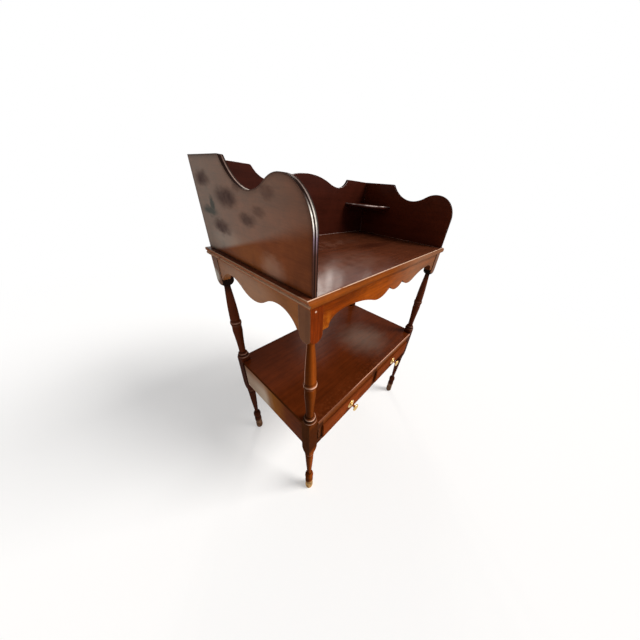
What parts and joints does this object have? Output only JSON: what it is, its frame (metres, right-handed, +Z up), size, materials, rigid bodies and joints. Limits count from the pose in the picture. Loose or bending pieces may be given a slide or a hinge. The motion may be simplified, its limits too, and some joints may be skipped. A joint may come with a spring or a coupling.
{
  "type": "washstand",
  "caption": "Washstand with turned legs, shaped aprons, a scrolled gallery with corner shelves, and a low shelf over small sliding drawers.",
  "frame": {"origin": "on the floor under the middle of the overall box", "axes": "+Z up; the front with the drawers faces -Y; +X to the right seen from the front"},
  "size_m": [0.646, 0.3914, 0.95],
  "materials": {
    "leg_wood": "polished red-brown hardwood, worn at the arrises",
    "front_wood": "polished red-brown hardwood, lighter and more orange",
    "top_wood": "polished red-brown hardwood with soft reflections",
    "gallery_wood": "polished dark red-brown hardwood",
    "inner_wood": "plain unpolished softwood",
    "knob_brass": "polished, slightly tarnished",
    "screw_steel": "dull"
  },
  "bodies": {
    "stand": {"leg_front_left": "leg_wood", "leg_front_right": "leg_wood", "leg_back_left": "leg_wood", "leg_back_right": "leg_wood", "apron_front": "front_wood", "apron_back": "leg_wood", "apron_left": "leg_wood", "apron_right": "leg_wood", "tabletop": "top_wood", "gallery_left": "gallery_wood", "gallery_right": "gallery_wood", "gallery_back": "gallery_wood", "corner_shelf_left": "gallery_wood", "corner_shelf_right": "gallery_wood", "glue_block_front_left": "inner_wood", "glue_block_front_right": "inner_wood", "glue_block_back_left": "inner_wood", "glue_block_back_right": "inner_wood", "top_screws": "screw_steel", "gallery_screws": "screw_steel", "apron_pins": "inner_wood", "low_shelf": "top_wood", "case_left": "leg_wood", "case_right": "leg_wood", "case_back": "inner_wood", "rail_upper": "front_wood", "rail_lower": "front_wood", "stile_left": "front_wood", "stile_right": "front_wood", "stile_middle": "front_wood", "runner_left": "inner_wood", "runner_right": "inner_wood", "runner_middle": "inner_wood", "guide_left": "inner_wood", "guide_right": "inner_wood", "guide_middle": "inner_wood", "kicker_left": "inner_wood", "kicker_right": "inner_wood", "kicker_middle": "inner_wood"},
    "drawer_left": {"drawer_front_left": "front_wood", "drawer_outer_left": "inner_wood", "drawer_inner_left": "inner_wood", "drawer_back_left": "inner_wood", "drawer_bottom_left": "inner_wood", "knob_plate_left": "knob_brass", "knob_left": "knob_brass", "knob_nut_left": "screw_steel"},
    "drawer_right": {"drawer_front_right": "front_wood", "drawer_outer_right": "inner_wood", "drawer_inner_right": "inner_wood", "drawer_back_right": "inner_wood", "drawer_bottom_right": "inner_wood", "knob_plate_right": "knob_brass", "knob_right": "knob_brass", "knob_nut_right": "screw_steel"}
  },
  "joints": [
    {"name": "drawer_left_slide", "type": "slide", "parent": "stand", "child": "drawer_left", "axis": [0, -1, 0], "range_m": [0, 0.25]},
    {"name": "drawer_right_slide", "type": "slide", "parent": "stand", "child": "drawer_right", "axis": [0, -1, 0], "range_m": [0, 0.25]}
  ]
}
